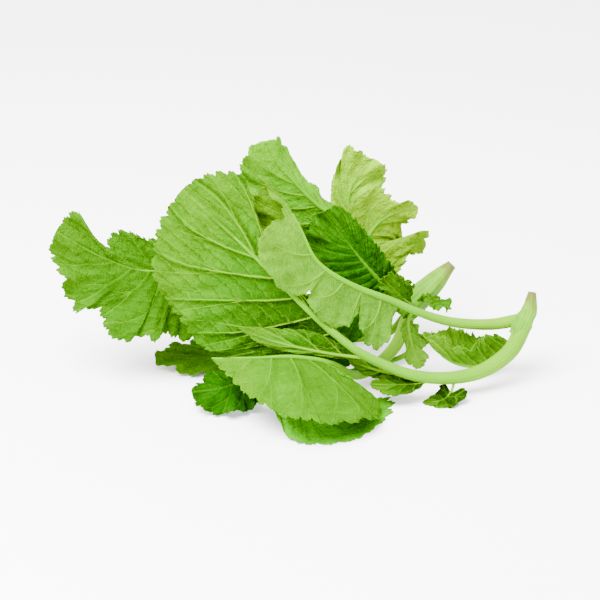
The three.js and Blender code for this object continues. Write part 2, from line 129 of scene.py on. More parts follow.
# The camera's angle, in degrees above the floor, its distance in metres, the point in the source's mm that it
# looks at, its lens and film width in mm, and the place and size of the lamp and the floor in metres.
VIEW_ELEVATION = 25
VIEW_DISTANCE = 1.2
VIEW_TARGET = (0, 0, 67.5)
LENS = 117.65
SENSOR = 36.0
LAMP_PLACE = (-0.35, -0.45, 1.1)
LAMP_SIZE = 0.9
FLOOR_HALF = 4.0

# The leaves, with the source's own numbers. `rib` runs from the crown to the tip, and `length` is the blade's
# part of it. `left` and `right` are the outline as (along, across), `fold` and `curl` are angles for the left
# and right half, and `lobes` grow from the leaf's stalk. What a leaf doesn't say is as PLAIN_SHAPE has it.
PLAIN_SHAPE = {"feet": 0.72, "foot_power": 1.15, "fold": ([0], [0]), "curl": ([0], [0]), "lobes": []}
LEAVES = [
    {
        "name": "leaf_front_large", "length": 154, "teeth": 24, "bite": 2.6, "seed": 1, "wave": (2, 34, 0.5),
        "rib": [(142, 29, 38), (131, 17, 22.5), (107, 5, 13.5), (74, -4, 17), (43, -6, 31), (18, -4, 50),
            (-7, 1, 73.5), (-35, 9, 100.5), (-72, 20, 132)],
        "face": [(0.1, 1, -0.1), (0.1, 1, -0.1), (-0.1, 1, -0.1)],
        "left": [(14, 2), (36, 3), (56, 5), (78, 7), (97, 10), (106, 16), (119, 24), (131, 32), (139, 27),
            (147, 19), (152, 9)],
        "right": [(13, 9), (32, 28), (56, 50), (72, 64), (83, 65), (96, 61), (117, 58), (133, 50), (146, 33),
            (152, 15)],
        "fold": ([0], [5]), "curl": ([0], [0, 0, -8, -8, 0]),
        "radius": [5.5, 5, 4.2, 3.6, 3, 2.4, 1.8, 1.3, 0.7],
        "lobes": [
            {
                "length": 78, "teeth": 9, "bite": 1.2, "seed": 21, "wave": (0.8, 22, 0.5),
                "rib": [(43, -6, 31), (30, -9, 33.5), (10, -10, 37.5), (-15, -9, 43.5), (-38, -7, 52)],
                "face": [(0.1, 0.9, -0.4)],
                "left": [(8, 5), (30, 11), (50, 9), (68, 4)],
                "right": [(8, 2), (26, 2.5), (44, 4), (62, 4)],
                "radius": [1.2, 0.9, 0.7, 0.4],
            },
            {
                "length": 32, "teeth": 6, "bite": 1.2, "seed": 22, "wave": (1.4, 22, 0.5),
                "rib": [(62, -5, 20), (54, 0, 18), (42, 3, 20), (30, 5, 24)],
                "face": [(0, 1, 0)],
                "left": [(4, 4), (14, 7), (26, 5)],
                "right": [(4, 4), (14, 6), (26, 4)],
                "radius": [1.2, 0.9, 0.7, 0.4],
            },
            {
                "length": 22, "teeth": 5, "bite": 1.6, "seed": 23, "wave": (1, 12, 0.5),
                "rib": [(97, 2, 13), (94, -4, 6), (88, -6, -1), (81, -7, -4), (76, -7, -3)],
                "face": [(0, -0.2, 1)],
                "left": [(-5, 7), (2, 10), (10, 9), (18, 4)],
                "right": [(-5, 6), (2, 9), (10, 9), (18, 5)],
                "radius": [1.1, 0.8, 0.6, 0.4],
            },
            {
                "length": 34, "teeth": 5, "bite": 1.6, "seed": 24, "wave": (1, 12, 0.5),
                "rib": [(82, -3, 15), (74, -6, 13), (60, -7, 12.5), (43, -7, 13)],
                "face": [(0, -0.4, 1)],
                "left": [(4, 4), (14, 8), (25, 7)],
                "right": [(4, 4), (14, 8), (25, 8)],
                "radius": [1.1, 0.8, 0.6, 0.4],
            },
        ],
    },
    {
        "name": "leaf_folded", "length": 122, "teeth": 24, "bite": 2.2, "seed": 3, "wave": (2, 26, 0.5),
        "feet": 0.8, "foot_power": 1,
        "rib": [(140, 33, 38.5), (119, 33, 35), (92, 28, 40), (61, 18, 56), (31, 9, 73), (10, 6.5, 90),
            (0, 8.5, 111), (-9, 13, 127), (-20, 17, 138)],
        "face": [(0.2, 0, -1), (-0.3, 0, -1), (-0.8, 0, -0.6), (-1, 0, -0.2), (-1, 0, -0.5)],
        "left": [(6, 8), (30, 10), (60, 14), (88, 26), (104, 28), (116, 23), (121, 12)],
        "right": [(2, 8), (3, 22), (8, 31), (17, 30), (23, 22), (26, 9), (28, 18), (31, 25), (37, 28),
            (43, 28), (50, 26), (55, 20), (56, 10), (57, 17), (60, 23), (66, 28), (76, 32), (86, 32),
            (96, 26), (99, 14), (98, 6), (106, 5), (114, 5)],
        "fold": ([60], [55, 52, 50]), "curl": ([0], [10]),
        "radius": [4.2, 3.6, 3.1, 2.6, 2.2, 1.8, 1.4, 1, 0.5],
        "lobes": [
            {
                "length": 36, "teeth": 7, "bite": 1.6, "seed": 25, "wave": (1.4, 12, 0.5),
                "rib": [(70, 20.5, 50.5), (68, 25, 40), (71, 24, 24), (76, 20, 10)],
                "face": [(-0.3, 0.9, 0)],
                "left": [(4, 4), (10, 5), (20, 4), (26, 7), (33, 4)],
                "right": [(4, 3), (12, 6), (16, 7), (18, 13), (22, 12), (24, 6), (30, 8), (34, 4)],
                "radius": [1.2, 0.9, 0.7, 0.4],
            },
        ],
    },
    {
        "name": "leaf_inner_folded", "length": 72, "teeth": 14, "bite": 2.2, "seed": 8, "wave": (2, 18, 0.5),
        "rib": [(140, 34, 36), (133, 32, 21), (118, 26, 11), (100, 23, 12.5), (85, 23, 22), (76, 25, 33)],
        "face": [(-0.1, 0.2, 1), (0, 0.2, 1), (0.6, 0.1, 0.6)],
        "left": [(2, 12), (12, 22), (26, 23), (38, 15), (50, 11), (62, 12)],
        "right": [(2, 10), (12, 16), (26, 20), (42, 22), (58, 18)],
        "fold": ([60, 60, 50], [60, 60, 50]),
        "radius": [2.6, 2.2, 1.8, 1.4, 1, 0.5],
    },
    {
        "name": "leaf_left_broad", "length": 105, "teeth": 24, "bite": 2.8, "seed": 2, "wave": (2.6, 30, 1.5),
        "rib": [(60, 62, 32), (10, 56, 42), (-45, 50, 53), (-80, 44, 66), (-102, 42, 69), (-119, 40, 76),
            (-134, 38, 85), (-146, 36, 94), (-152, 36, 98)],
        "face": [(0, -0.9, 0.6)],
        "left": [(-2, 22), (3, 38), (22, 38), (28, 41), (34, 45), (44, 40), (46, 47), (55, 44), (59, 32),
            (68, 33), (73, 40), (74, 34), (83, 30), (86, 24), (92, 19), (101, 12), (104, 6)],
        "right": [(12, 18), (30, 21), (45, 20), (61, 21), (66, 19), (71, 15), (70, 2), (74, 8), (82, 5),
            (86, 11), (93, 12), (97, 17), (101, 16), (104, 8)],
        "curl": ([0, 10, 10], [0]),
        "radius": [4, 3.4, 2.8, 2.2, 1.6, 1, 0.5],
    },
    {
        "name": "leaf_back_tall", "length": 93, "teeth": 17, "bite": 2.2, "seed": 4, "wave": (2, 26, 0.5),
        "rib": [(64, 68, 30), (44, 64, 46), (30, 65, 72), (22, 65, 94), (11, 64, 104), (0, 62, 116),
            (-14, 58, 135), (-21, 56, 150)],
        "face": [(-0.2, 1, 0.2), (-0.2, 1, 0), (-0.2, 1, -0.3)],
        "left": [(10, 8), (30, 11), (50, 14), (70, 19), (86, 14)],
        "right": [(10, 16), (30, 28), (50, 36), (66, 31), (80, 24), (90, 18), (95, 10)],
        "fold": ([65, 65, 60, 30], [0]), "curl": ([20, 20, 0], [0]),
        "radius": [3.4, 2.8, 2.2, 1.6, 1, 0.5],
    },
    {
        "name": "leaf_back_curled", "length": 69, "teeth": 14, "bite": 2, "seed": 5, "wave": (2.4, 22, 0.5),
        "rib": [(70, 78, 36), (52, 86, 61), (38, 92, 79), (32, 94, 94), (36, 96, 109), (47, 95, 122)],
        "face": [(0.5, 1, 0.2), (0.4, 0.9, 0.1), (0.2, 0.8, 0.4)],
        "left": [(8, 8), (22, 13), (38, 17), (48, 18), (56, 18), (63, 17), (69, 12), (72, 5)],
        "right": [(6, 10), (20, 24), (26, 26), (35, 17), (44, 14), (52, 14), (58, 17), (64, 19), (68, 14),
            (68, 7)],
        "fold": ([10], [10]),
        "radius": [3, 2.5, 2, 1.4, 0.8, 0.4],
    },
    {
        "name": "leaf_back_bright", "length": 71, "teeth": 18, "bite": 2.6, "seed": 6, "wave": (2, 24, 0.5),
        "rib": [(68, 68, 34), (56, 68, 49), (47.5, 70, 63), (43.5, 75, 75), (51, 79, 86), (64, 82, 92),
            (77, 84, 92.5)],
        "face": [(0, 1, -0.1), (0, 1, 0.2), (0.2, 0.9, 0.4)],
        "left": [(0, 11), (4, 19), (10, 26), (17, 30), (21, 32), (24, 39), (29, 40), (32, 35), (35, 29),
            (42, 30), (50, 27), (58, 21), (66, 12)],
        "right": [(0, 8), (14, 17), (32, 20), (49, 21), (54, 15), (57, 8), (64, 7)],
        "fold": ([10], [10]),
        "radius": [3, 2.5, 2, 1.4, 0.8, 0.4],
    },
    {
        "name": "leaf_inner_crinkled", "length": 76, "teeth": 16, "bite": 2.2, "seed": 7,
        "wave": (3, 20, 0.5),
        "rib": [(66, 64, 30), (54, 52, 53), (42, 48, 69), (30, 46, 86), (20, 46, 100), (14, 46, 108)],
        "face": [(0.3, -1, 0.3)],
        "left": [(8, 20), (26, 33), (46, 37), (62, 32), (73, 16)],
        "right": [(8, 10), (26, 13), (46, 13), (62, 12), (72, 8)],
        "fold": ([0], [10]),
        "radius": [3, 2.5, 2, 1.4, 0.8],
        "lobes": [
            {
                "length": 72, "teeth": 7, "bite": 1.8, "seed": 26, "wave": (2, 22, 0.5),
                "rib": [(62, 61, 38), (50, 48, 40), (26, 40, 37), (0, 37, 36), (-18, 36, 38)],
                "face": [(0.1, -1, 0.3)],
                "left": [(6, 10), (22, 17), (44, 18), (62, 10)],
                "right": [(6, 10), (22, 16), (44, 17), (62, 10)],
                "radius": [1.6, 1.2, 0.9, 0.6, 0.4],
            },
        ],
    },
    {
        "name": "leaf_front_low", "length": 78, "teeth": 24, "bite": 2.6, "seed": 9, "wave": (1.4, 28, 0.5),
        "feet": 0.85,
        "rib": [(70, 64, 24), (62, 48, 13), (50, 30, 9), (36, 9, 11), (19, -9, 28), (-5, -16, 36),
            (-28, -18, 36.5), (-54, -16, 36)],
        "face": [(0, -0.72, -0.7)],
        "left": [(-14, 14), (-30, 22), (-34, 32), (-28, 46), (-18, 56), (-6, 60), (8, 60), (22, 58), (33, 52),
            (38, 42), (44, 28), (54, 14), (68, 6)],
        "right": [(2, 7), (1, 13), (-8, 17), (-17, 21), (-18, 28), (-14, 37), (-6, 46), (14, 53), (32, 49),
            (45, 39), (53, 29), (61, 19), (71, 8)],
        "fold": ([96, 98, 84, 74, 72], [46, 46, 56, 66, 70]), "curl": ([22], [8]),
        "radius": [4.4, 4, 3.2, 2.4, 1.6, 1, 0.5],
    },
    {
        "name": "leaf_low_curly", "length": 42, "teeth": 10, "bite": 2, "seed": 10, "wave": (3, 16, 0.5),
        "rib": [(76, 64, 20), (70, 50, 6), (30, 26, 5), (-8, 8, 9), (-32, -6, 15), (-49, -14, 14),
            (-67, -14, 11)],
        "face": [(0, -0.6, 0.8)],
        "left": [(2, 14), (16, 19), (30, 15), (38, 9)],
        "right": [(4, 8), (18, 10), (32, 10)],
        "radius": [2, 1.6, 1.2, 0.8, 0.5],
        "lobes": [
            {
                "length": 66, "teeth": 7, "bite": 1.6, "seed": 27, "wave": (1.5, 20, 0.5),
                "rib": [(50, 38, 5), (36, 28, 14), (16, 20, 21), (-8, 17, 25), (-26, 16, 27)],
                "face": [(0, -1, 0.3)],
                "left": [(6, 7), (24, 11), (44, 11), (58, 6)],
                "right": [(6, 7), (24, 11), (44, 11), (58, 6)],
                "radius": [1.2, 1, 0.8, 0.6, 0.4],
            },
        ],
    },
    {
        "name": "leaf_back_low", "length": 100, "teeth": 13, "bite": 2.4, "seed": 11, "wave": (2, 20, 0.5),
        "rib": [(70, 72, 24), (57, 75, 8), (30, 76, 2), (0, 70, -3), (-32, 60, -3), (-63, 48, 3),
            (-94, 40, 8)],
        "face": [(0, -0.1, 1)],
        "left": [(10, 14), (34, 24), (60, 24), (84, 16), (96, 8)],
        "right": [(10, 14), (34, 26), (60, 25), (84, 16), (96, 8)],
        "radius": [2.8, 2.4, 2, 1.6, 1.2, 0.8, 0.5],
    },
    {
        "name": "leaf_heart_1", "length": 44, "teeth": 10, "bite": 1.8, "seed": 31, "wave": (2.2, 11, 0.5),
        "rib": [(71, 66, 35), (71, 53, 40), (65, 43, 49), (58, 37, 59), (51, 34, 68)],
        "face": [(0.3, -0.8, 0.6)],
        "left": [(3, 8), (14, 11), (28, 10), (38, 7)],
        "right": [(3, 8), (14, 11), (28, 10), (38, 7)],
        "fold": ([10], [10]), "curl": ([30], [30]),
        "radius": [1.8, 1.5, 1, 0.5],
    },
    {
        "name": "leaf_heart_2", "length": 28, "teeth": 8, "bite": 1.8, "seed": 32, "wave": (2.4, 11, 1.5),
        "rib": [(80, 69, 38), (86, 57, 39), (87, 49, 42), (82, 40, 45)],
        "face": [(0.3, -0.3, 0.9)],
        "left": [(3, 8), (12, 10), (22, 7)],
        "right": [(3, 8), (12, 10), (22, 7)],
        "fold": ([10], [10]), "curl": ([30], [30]),
        "radius": [1.8, 1.5, 1, 0.5],
    },
]

CROWNS = [
    {"name": "crown_front", "axis": [(137, 25, 31), (141, 27.5, 39), (144.5, 30, 47), (146, 33, 57.5)],
     "radius": [5.2, 5.6, 4.5, 2.5]},
    {"name": "crown_back", "axis": [(66, 68, 26), (77, 72, 36), (89, 76.5, 46.5), (99, 80, 56)],
     "radius": [8, 8.5, 6.6, 3.2]},
]

# How each leaf differs: the colours of its upper side and underside, the side veins in each half, how far the
# blade puckers between them and the height and length of the fine frill along its margin, in mm, how round
# its teeth are, and how strongly painted shade darkens its base, its tip yellows, its veins show and painted
# shade darkens the dips beside them.
PLAIN_LOOK = {"pucker": 1.3, "frill": 0.8, "curl": 7, "round": 0.3, "dark": 0.3, "yellow": 0.4, "lines": 1.0,
              "dip_shade": 0.45}
LOOKS = {
    "leaf_front_large": {
        "upper": "leafy", "under": "pale", "veins": 7, "pucker": 2.6, "frill": 0.6, "round": 0.8, "dark": 1.0,
        "yellow": 1.2, "dip_shade": 1.0},
    "leaf_folded": {"upper": "olive", "under": "soft", "veins": 7, "pucker": 0.9, "frill": 0.5, "dip_shade": 0.2},
    "leaf_inner_folded": {"upper": "sap", "under": "sap", "veins": 7, "dip_shade": 0.8},
    "leaf_left_broad": {
        "upper": "leafy", "under": "pale", "veins": 7, "pucker": 2.2, "frill": 0.9, "round": 1, "dip_shade": 0.7},
    "leaf_back_tall": {"upper": "leafy", "under": "cool", "veins": 7, "frill": 0.6, "dip_shade": 0.3},
    "leaf_back_curled": {"upper": "fresh", "under": "fresh", "veins": 6, "frill": 1.4, "yellow": 0.2},
    "leaf_back_bright": {"upper": "bright", "under": "bright", "veins": 6, "frill": 1.3, "yellow": 0.2},
    "leaf_inner_crinkled": {
        "upper": "crinkled", "under": "pale", "veins": 11, "pucker": 2.8, "frill": 2.2, "lines": 0.4,
        "yellow": 0.8, "dip_shade": 0.7},
    "leaf_front_low": {
        "upper": "vivid", "under": "light", "veins": 6, "pucker": 1, "frill": 0.7, "round": 0.8,
        "lines": 0.55, "dip_shade": 0.3},
    "leaf_low_curly": {
        "upper": "deep", "under": "pale", "veins": 5, "pucker": 1.8, "frill": 1.2, "round": 0.9,
        "lines": 0.45},
    "leaf_back_low": {
        "upper": "leafy", "under": "pale", "veins": 7, "pucker": 1.6, "round": 0.7, "lines": 0.5, "dark": 0},
    "leaf_heart_1": {"upper": "leafy", "under": "pale", "veins": 4, "pucker": 2.0, "frill": 3.0, "curl": 3.5},
    "leaf_heart_2": {"upper": "leafy", "under": "pale", "veins": 4, "pucker": 2.0, "frill": 3.0, "curl": 3.5},
}


# Settings

def colour(name, text, default):
    return bpy.props.FloatVectorProperty(
        name=name, description=text, subtype="COLOR", size=3, min=0.0, max=1.0, default=default)


def length(name, text, default):
    return bpy.props.FloatProperty(
        name=name, description=text, subtype="DISTANCE", unit="LENGTH", default=default, min=0.0)


def strength(name, text, default):
    return bpy.props.FloatProperty(name=name, description=text, default=default, min=0.0)


def count(name, text, default):
    return bpy.props.IntProperty(name=name, description=text, default=default, min=4, max=48)


class GreensBlades(bpy.types.PropertyGroup):
    rib_thickness: length("Thickness at the Rib", "Blade thickness beside the midrib", 0.0008)
    edge_thickness: length("Thickness at the Edge", "Blade thickness along the margin", 0.0004)
    leafy: colour("Leafy", "Upper side of the broad leaf", (0.019, 0.084, 0))
    vivid: colour("Vivid", "Upper side of the low folded leaf", (0.045, 0.225, 0))
    deep: colour("Deep", "Upper side of the small low leaf", (0.005, 0.047, 0))
    crinkled: colour("Crinkled", "Upper side of the crinkled leaf", (0.010, 0.074, 0))
    olive: colour("Olive", "Upper side of the tall folded leaf", (0.029, 0.093, 0))
    bright: colour("Bright", "Both sides of the yellow-green leaf", (0.105, 0.222, 0))
    fresh: colour("Fresh", "Both sides of the curled leaf", (0.122, 0.280, 0))
    pale: colour("Pale", "Underside of the large leaf", (0.021, 0.104, 0))
    soft: colour("Soft", "Underside of the tall folded leaf", (0.048, 0.148, 0.0035))
    light: colour("Light", "Underside of the low folded leaf", (0.031, 0.114, 0))
    cool: colour("Cool", "Underside of the tall back leaf", (0.051, 0.204, 0))
    sap: colour("Sap", "Both sides of the boat-shaped leaf", (0.058, 0.194, 0))
    vein: colour("Vein", "Veins on both sides of a blade", (0.071, 0.176, 0.0035))


class GreensStalks(bpy.types.PropertyGroup):
    sides: count("Sides", "Sides of a stalk's ring", 20)
    vein_sides: count("Vein Sides", "Sides of a vein's ring", 6)
    vein_radius: length("Vein Radius", "Radius of a side vein where it leaves the midrib", 0.0006)
    stalk: colour("Stalk", "Fleshy stalk and midrib", (0.061, 0.205, 0))
    green_stalk: colour("Green Stalk", "Stalk and midrib of the dark leaves", (0.020, 0.100, 0))
    stalk_pale: colour("Pale Stalk", "Stalk near its crown", (0.088, 0.209, 0.0024))
    cut: colour("Cut End", "Dry tip of a crown", (0.079, 0.088, 0.0165))


class GreensStage(bpy.types.PropertyGroup):
    floor: colour("Floor", "Pale table", (0.900, 0.900, 0.900))
    sky: strength("Sky", "Strength of the white surroundings", 4.4)
    key: strength("Key", "Power of the large soft lamp, in watts", 117.0)


# The shape of a leaf

def along(values, share):
    """A smooth curve through points or numbers, at shares from 0 to 1."""
    values = np.asarray(values, float)
    share = np.asarray(share, float)
    if len(values) == 1:
        return np.broadcast_to(values[0], share.shape + values[0].shape) * 1.0
    ends = [2 * values[0] - values[1]], [2 * values[-1] - values[-2]]
    full = np.concatenate([ends[0], values, ends[1]])
    place = np.clip(share, 0, 1) * (len(values) - 1)
    i = np.minimum(place.astype(int), len(values) - 2)
    f = place - i
    if values.ndim > 1:
        f = f[..., None]
    a, b, c, d = full[i], full[i + 1], full[i + 2], full[i + 3]
    m0 = (c - a) / 2
    m1 = (d - b) / 2
    return b + m0 * f + (3 * (c - b) - 2 * m0 - m1) * f ** 2 + (2 * (b - c) + m0 + m1) * f ** 3


def unit(vectors):
    return vectors / np.maximum(np.linalg.norm(vectors, axis=-1, keepdims=True), 1e-9)


def chance(index, seed):
    x = np.sin(index * 12.9898 + seed * 78.233) * 43758.5453
    return x - np.floor(x)


def ripple(x, y, size, seed):
    """Soft irregular bumps about `size` mm across, from -1 to 1."""
    total = np.zeros(np.broadcast(x, y).shape)
    waves = 7
    for k in range(waves):
        turn = 2 * np.pi * chance(k, seed)
        pitch = size * (0.7 + 0.8 * chance(k + 20, seed))
        phase = 2 * np.pi * chance(k + 40, seed)
        total += np.sin(2 * np.pi * (x * np.cos(turn) + y * np.sin(turn)) / pitch + phase)
    return total / waves ** 0.5 / 1.6


class Walk:
    """A smooth curve that is walked by its length."""

    def __init__(self, points):
        self.points = along(points, np.linspace(0, 1, CURVE_DIVISIONS + 1))
        steps = np.linalg.norm(np.diff(self.points, axis=0), axis=1)
        self.reached = np.concatenate([[0], np.cumsum(steps)])
        self.length = self.reached[-1]
        self.headings = unit(np.gradient(self.points, axis=0))

    def at(self, distance):
        distance = np.asarray(distance, float)
        inside = np.clip(distance, 0, self.length)
        axes = range(self.points.shape[1])
        point = np.stack([np.interp(inside, self.reached, self.points[:, k]) for k in axes], -1)
        heading = unit(np.stack([np.interp(inside, self.reached, self.headings[:, k]) for k in axes], -1))
        return point + heading * (distance - inside)[..., None], heading


class Leaf:
    """A blade or lobe on its stalk. Its surface is placed by t, from base to tip along the margin, and by
    w, from the rib to the margin. Side is -1 for the left half and 1 for the right."""

    def __init__(self, spec, look):
        self.spec = spec = PLAIN_SHAPE | spec
        self.look = look
        self.rib = Walk(spec["rib"])
        self.base = self.rib.length - spec["length"]
        self.edge = {}
        for side, key in ((-1, "left"), (1, "right")):
            self.edge[side] = Walk([(0, 0.5), *spec[key], (spec["length"], 0)])

    def frame(self, x):
        x = np.asarray(x, float)
        point, heading = self.rib.at(self.base + x)
        up = along(self.spec["face"], x / self.spec["length"])
        up = unit(up - heading * np.sum(up * heading, axis=-1, keepdims=True))
        return point, heading, up, np.cross(heading, up)

    def tooth(self, side, t):
        """How far the large and fine teeth take the margin out, in mm."""
        spec = self.spec
        total = 0.0
        sets = ((spec["teeth"], spec["bite"], 0), (spec["teeth"] * FINE_TEETH, spec["bite"] * FINE_BITE, 7))
        for number, size, skip in sets:
            place = (1 - t) * number
            index = np.floor(place) * 2 + (side > 0) + skip
            f = place - np.floor(place)
            rise = np.where(f < TOOTH_LEAN, f / TOOTH_LEAN, (1 - f) / (1 - TOOTH_LEAN))
            blunt = np.sin(np.pi / 2 * rise) ** 0.8
            rise = rise ** 0.8
            rise = rise + self.look["round"] * (blunt - rise)
            total = total + size * (0.5 + chance(index, spec["seed"])) * (rise - 0.5)
        return total

    def vein_place(self, t, w):
        """Side veins run where this is a whole number."""
        return self.look["veins"] * (t - self.lean(w))

    def lean(self, w):
        return VEIN_LEAN * w ** 1.5

    def relief(self, x, y, t, w):
        """How far the blade puckers out to its upper side between the veins, in mm."""
        look = self.look
        place = self.vein_place(t, w)
        between = np.sin(np.pi * (place - np.floor(place)) ** 1.5) ** 0.7
        cells = 0.65 + 0.35 * ripple(x, y, PUCKER_SIZE, self.spec["seed"])
        clear = np.clip(np.abs(y) / 7, 0, 1) * np.clip((1 - w) / 0.12, 0, 1) ** 0.5
        fine = 0.32 * ripple(x, y, PUCKER_GRAIN, self.spec["seed"] + 3)
        fading = np.interp(x / self.spec["length"], (0, 1), (1.25, 0.6))
        return look["pucker"] * fading * clear * (between * cells - 0.35 + fine)

    def surface(self, side, t, w):
        """Points in the middle of the blade, the way to its upper side, and their place on the flat leaf."""
        spec = self.spec
        t, w = np.broadcast_arrays(np.asarray(t, float), np.asarray(w, float))
        margin = self.edge[side].at(t * self.edge[side].length)[0]
        foot = np.stack([spec["feet"] * spec["length"] * t ** spec["foot_power"], np.zeros_like(t)], -1)
        reach = np.linalg.norm(margin - foot, axis=-1)
        fade = np.clip(reach / TOOTH_FADE, 0, 1) * np.clip((1 - t) * 12, 0, 1)
        grow = 1 + self.tooth(side, t) / np.maximum(reach, 1) * fade * w ** 3
        flat = foot + (margin - foot) * (grow * w)[..., None]
        x, y = flat[..., 0], flat[..., 1]
        fold = np.radians(along(spec["fold"][side > 0], t))
        bend = np.radians(along(spec["curl"][side > 0], t)) / CURL_REACH
        bend = np.where(np.abs(bend) < 1e-6, 1e-6, bend)
        turn = fold + bend * y
        out = (np.sin(turn) - np.sin(fold)) / bend
        lift = (np.cos(fold) - np.cos(turn)) / bend
        point, heading, up, right = self.frame(x)
        point = point + right * (side * out)[..., None] + up * lift[..., None]
        way = up * np.cos(turn)[..., None] - right * (side * np.sin(turn))[..., None]
        height, pitch, phase = spec["wave"]
        run = side * (1 - t) * self.edge[side].length
        angle = 2 * np.pi * run / pitch + phase
        ruffle = np.sin(angle) + 0.45 * np.sin(2.3 * angle + 0.8)
        swell = height * w ** 2 * ruffle * np.clip(reach / WAVE_FADE, 0, 1)
        frill = self.look["frill"] * w ** 6 * np.clip(reach / FRILL_FADE, 0, 1)
        frill = frill * ripple(run, 0 * run, self.look["curl"], spec["seed"] + 9)
        rise = swell + frill + self.relief(x, side * y, t, w)
        point = point + way * rise[..., None]
        return self.settle(point), way, np.stack([x, side * y], -1)

    def settle(self, point):
        """What would sink below the floor lies on it."""
        above = np.clip(point[..., 2] - FLOOR_REST + FLOOR_SOFTNESS, 0, 2 * FLOOR_SOFTNESS)
        low = FLOOR_REST + above ** 2 / (4 * FLOOR_SOFTNESS)
        point = point.copy()
        point[..., 2] = np.where(point[..., 2] > FLOOR_REST + FLOOR_SOFTNESS, point[..., 2], low)
        return point

    def stalk_line(self, steps=60):
        """The middle of the stalk and midrib, and its radius."""
        spec = self.spec
        end = self.base + spec["length"] * spec["feet"]
        distance = np.linspace(0, end, steps + 1)
        radius = along(spec["radius"], distance / end)
        point, _, up, _ = self.frame(distance - self.base)
        sunk = np.clip((distance - self.base + 10) / 20, 0, 1)
        point = point - up * (0.55 * radius * sunk)[:, None]
        point[:, 2] = np.maximum(point[:, 2], radius)
        return point, radius

    def vein_lines(self, thickness):
        """The side veins and their forks on the underside, each with its radius."""
        lines = []
        total = self.look["veins"]
        for side in (-1, 1):
            for k in range(1, total):
                w = np.linspace(0.0, VEIN_END, 16)
                t = k / total + self.lean(w)
                keep = t < LAST_VEIN
                if keep.sum() < 5:
                    continue
                lines.append(self.vein(side, t[keep], w[keep], 1.0, thickness))
                for turn in (-1, 1):
                    w = np.linspace(FORK_START, FORK_END, 9)
                    spread = FORK_SPREAD * ((w - FORK_START) / (1 - FORK_START)) ** FORK_BEND * turn
                    t = (k + spread) / total + self.lean(w)
                    keep = (t < LAST_VEIN) & (t > 0.01)
                    if keep.sum() > 4:
                        lines.append(self.vein(side, t[keep], w[keep], FORK_GIRTH, thickness))
        return lines

    def vein(self, side, t, w, girth, thickness):
        """A line on the underside, and its radius, which is smaller on a small blade."""
        point, way, _ = self.surface(side, t, w)
        reach = np.clip(self.edge[side].length / 160, 0.45, 1)
        return point - way * (0.5 * thickness), girth * (1 - VEIN_TAPER * w) * reach


# Meshes

def in_frame(points):
    return (np.asarray(points) - HEAP_MIDDLE) * MM


def blade_grid(leaf):
    """The middle sheet of a blade as rows of points, whose columns run from the left margin to the right."""
    rows = leaf.spec["teeth"] * ROWS_PER_TOOTH
    t = np.linspace(0, 1, rows + 1)
    shares = (np.arange(CELLS_ACROSS + 1) / CELLS_ACROSS) ** CELL_CROWDING
    columns = []
    for side, order in ((-1, shares[::-1]), (1, shares[1:])):
        for w in order:
            point, way, flat = leaf.surface(side, t, np.full_like(t, w))
            place = leaf.vein_place(t, w)
            columns.append((point, way, flat, place, np.full_like(t, w)))
    point, way, flat, place, w = [np.stack(items, 1) for items in zip(*columns)]
    middle = CELLS_ACROSS
    for c in range(1, middle + 1):
        point[-1, middle + c] = point[-1, middle - c]
    point[0, :] = point[0, middle]
    return point, flat, place, w


def blade_sheet(leaf, settings):
    """A closed sheet with its upper side and underside, as points, faces, face materials and attributes."""
    point, flat, place, w = blade_grid(leaf)
    rows, columns = point.shape[:2]
    down = np.gradient(point, axis=0)
    over = np.gradient(point, axis=1)
    normal = np.cross(over, down)
    normal[0] = normal[1]
    normal[-1] = normal[-2]
    normal = unit(normal)
    middle = (columns - 1) // 2
    for c in range(1, middle + 1):
        shared = unit(normal[-1, middle + c] + normal[-1, middle - c])
        normal[-1, middle + c] = shared
        normal[-1, middle - c] = shared
    normal[0, :] = unit(normal[0].sum(axis=0))
    step = np.gradient(flat, axis=0)
    ray = unit(np.gradient(flat, axis=1))
    off = step - ray * np.sum(step * ray, axis=-1, keepdims=True)
    gap = np.linalg.norm(off, axis=-1) * (rows - 1) / leaf.look["veins"]
    thin = settings.rib_thickness / MM
    thick = thin + (settings.edge_thickness / MM - thin) * w ** 1.5
    half = (normal * thick[..., None]) / 2
    ids = np.arange(rows * columns).reshape(rows, columns)
    ids[0, :] = ids[0, middle]
    ids[-1, middle + 1:] = ids[-1, :middle][::-1]
    corners = (ids[:-1, :-1], ids[1:, :-1], ids[1:, 1:], ids[:-1, 1:])
    under = rows * columns
    faces = []
    finish = []
    for quad in zip(*(corner.ravel().tolist() for corner in corners)):
        ring = list(dict.fromkeys(quad))
        if len(ring) < 3:
            continue
        faces.append([i + under for i in ring])
        finish.append(1)
        faces.append(ring[::-1])
        finish.append(0)
    for line, way in ((ids[:, 0], 1), (ids[:, -1], -1)):
        for i, j in zip(line[:-1].tolist(), line[1:].tolist()):
            faces.append([i, j, j + under, i + under][::way])
            finish.append(0)
    points = np.concatenate([(point + half).reshape(-1, 3), (point - half).reshape(-1, 3)])
    data = {
        "vein": np.stack([place, gap, w], -1).reshape(-1, 3),
        "sheet": np.concatenate([flat, np.zeros(flat.shape[:2] + (1,))], -1).reshape(-1, 3),
        "grown": (flat[..., 0] / leaf.spec["length"] + 0.15 * w ** 3).reshape(-1),
    }
    data = {key: np.concatenate([value, value]) for key, value in data.items()}
    return points, faces, finish, data


def join_sheets(sheets):
    points, faces, finish = [], [], []
    data = {}
    start = 0
    for some, rings, kinds, values in sheets:
        points.append(some)
        faces += [[i + start for i in ring] for ring in rings]
        finish += kinds
        for key, value in values.items():
            data.setdefault(key, []).append(value)
        start += len(some)
    return np.concatenate(points), faces, finish, {key: np.concatenate(value) for key, value in data.items()}


